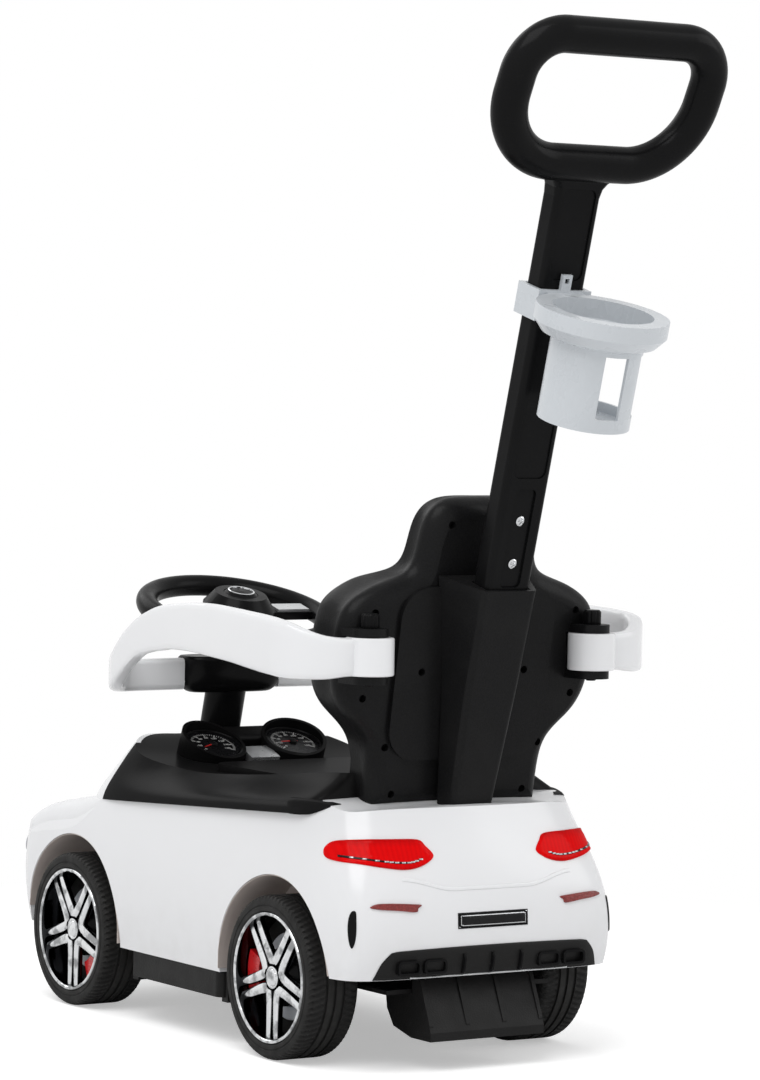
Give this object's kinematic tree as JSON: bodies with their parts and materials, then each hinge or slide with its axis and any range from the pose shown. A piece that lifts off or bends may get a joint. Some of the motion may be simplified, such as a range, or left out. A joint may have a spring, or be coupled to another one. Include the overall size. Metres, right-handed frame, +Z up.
{
  "type": "push car with handle",
  "caption": "Child's ride-on push car with a moulded sports-car body, saddle seat, backrest, steering wheel, swinging guard arms, leaning push mast with loop handle and cup holder.",
  "frame": {"origin": "on the ground, on the centre line, midway between the front and rear axles", "axes": "+Z up, -Y forwards, +X to the car's left"},
  "size_m": [0.4018, 0.8455, 0.9324],
  "materials": {
    "white_plastic": "gloss",
    "black_plastic": "satin",
    "seat_plastic": "grained",
    "frame_grey": "matt",
    "dark_panel": "gloss",
    "dial_black": "gloss",
    "silver_trim": "metallic",
    "plated_rim": "plated",
    "tyre_black": "matt",
    "brake_red": "gloss",
    "lamp_red": "gloss",
    "lamp_clear": "gloss",
    "steel": "bright",
    "cup_grey": "satin"
  },
  "bodies": {
    "car": {"body_shell": "white_plastic", "chassis_pan": "black_plastic", "windscreen_cowl": "white_plastic", "windscreen": "dark_panel", "front_grille": "black_plastic", "headlights": "lamp_clear", "saddle": "seat_plastic", "gauge_faces": "dial_black", "dash_display": "silver_trim", "seat_hinge_pin": "steel", "storage_bin": "black_plastic", "column_tube": "black_plastic", "guard_hub": "black_plastic", "front_axle_beam": "frame_grey", "guard_pin_left": "black_plastic", "guard_pin_right": "black_plastic", "backrest_rear_shell": "seat_plastic", "backrest_front_shell": "seat_plastic", "mast_socket": "seat_plastic", "push_mast": "black_plastic", "handle_loop_front": "black_plastic", "handle_loop_rear": "black_plastic", "mast_screws": "steel", "cup_clip": "cup_grey", "cup_holder": "cup_grey", "tail_lamps": "lamp_red", "rear_reflectors": "lamp_red", "rear_diffuser": "black_plastic", "tailpipes": "silver_trim", "rear_vents": "black_plastic", "anti_tip_foot": "black_plastic", "rear_axle": "steel"},
    "steering": {"steering_wheel": "black_plastic", "spoke_trims": "silver_trim", "steering_shaft": "steel"},
    "horn": {"horn_button": "black_plastic"},
    "tie_rod_body": {"tie_rod": "steel"},
    "knuckle_left": {"steering_knuckle_left": "frame_grey"},
    "knuckle_right": {"steering_knuckle_right": "frame_grey"},
    "guard_left": {"guard_arm_left": "white_plastic"},
    "guard_right": {"guard_arm_right": "white_plastic"},
    "lid": {"seat_lid": "seat_plastic"},
    "tray_left": {"footrest_left": "black_plastic"},
    "tray_right": {"footrest_right": "black_plastic"},
    "wheel_front_left": {"tyre_front_left": "tyre_black", "rim_front_left": "plated_rim", "caliper_front_left": "brake_red"},
    "wheel_front_right": {"tyre_front_right": "tyre_black", "rim_front_right": "plated_rim", "caliper_front_right": "brake_red"},
    "wheel_rear_left": {"tyre_rear_left": "tyre_black", "rim_rear_left": "plated_rim", "caliper_rear_left": "brake_red"},
    "wheel_rear_right": {"tyre_rear_right": "tyre_black", "rim_rear_right": "plated_rim", "caliper_rear_right": "brake_red"}
  },
  "joints": [
    {"name": "steer", "type": "hinge", "parent": "car", "child": "steering", "pos_m": [0, -0.12969, 0.387], "axis": [0, 0.2588, 0.9659], "range_deg": [-30, 30]},
    {"name": "horn_press", "type": "slide", "parent": "steering", "child": "horn", "axis": [0, -0.2588, -0.9659], "range_m": [0, 0.0025], "stiffness_N_per_m": 400, "springref_m": -0.001},
    {"name": "tie_slide", "type": "slide", "parent": "car", "child": "tie_rod_body", "axis": [1, 0, 0], "range_m": [-0.0105, 0.0105]},
    {"name": "knuckle_left_turn", "type": "hinge", "parent": "car", "child": "knuckle_left", "pos_m": [0.093, -0.187, 0.075], "axis": [0, 0, 1], "range_deg": [-17, 17]},
    {"name": "knuckle_right_turn", "type": "hinge", "parent": "car", "child": "knuckle_right", "pos_m": [-0.093, -0.187, 0.075], "axis": [0, 0, 1], "range_deg": [-17, 17]},
    {"name": "guard_left_swing", "type": "hinge", "parent": "car", "child": "guard_left", "pos_m": [0.1215, 0.298, 0.374], "axis": [0, 0, 1], "range_deg": [0, 75]},
    {"name": "guard_right_swing", "type": "hinge", "parent": "car", "child": "guard_right", "pos_m": [-0.1215, 0.298, 0.374], "axis": [0, 0, -1], "range_deg": [0, 75]},
    {"name": "lid_lift", "type": "hinge", "parent": "car", "child": "lid", "pos_m": [0, 0.196, 0.245], "axis": [-1, 0, 0], "range_deg": [0, 70]},
    {"name": "tray_left_pull", "type": "slide", "parent": "car", "child": "tray_left", "axis": [1, 0, 0], "range_m": [0, 0.06]},
    {"name": "tray_right_pull", "type": "slide", "parent": "car", "child": "tray_right", "axis": [-1, 0, 0], "range_m": [0, 0.06]},
    {"name": "spin_front_left", "type": "hinge", "parent": "knuckle_left", "child": "wheel_front_left", "pos_m": [0.128, -0.187, 0.075], "axis": [1, 0, 0], "continuous": true},
    {"name": "spin_front_right", "type": "hinge", "parent": "knuckle_right", "child": "wheel_front_right", "pos_m": [-0.128, -0.187, 0.075], "axis": [1, 0, 0], "continuous": true},
    {"name": "spin_rear_left", "type": "hinge", "parent": "car", "child": "wheel_rear_left", "pos_m": [0.128, 0.187, 0.075], "axis": [1, 0, 0], "continuous": true},
    {"name": "spin_rear_right", "type": "hinge", "parent": "car", "child": "wheel_rear_right", "pos_m": [-0.128, 0.187, 0.075], "axis": [1, 0, 0], "continuous": true}
  ],
  "couplings": [
    {"joint": "tie_slide", "follows": "steer", "m_per_rad": -0.0187},
    {"joint": "knuckle_left_turn", "follows": "steer", "ratio": 0.55},
    {"joint": "knuckle_right_turn", "follows": "steer", "ratio": 0.55}
  ]
}
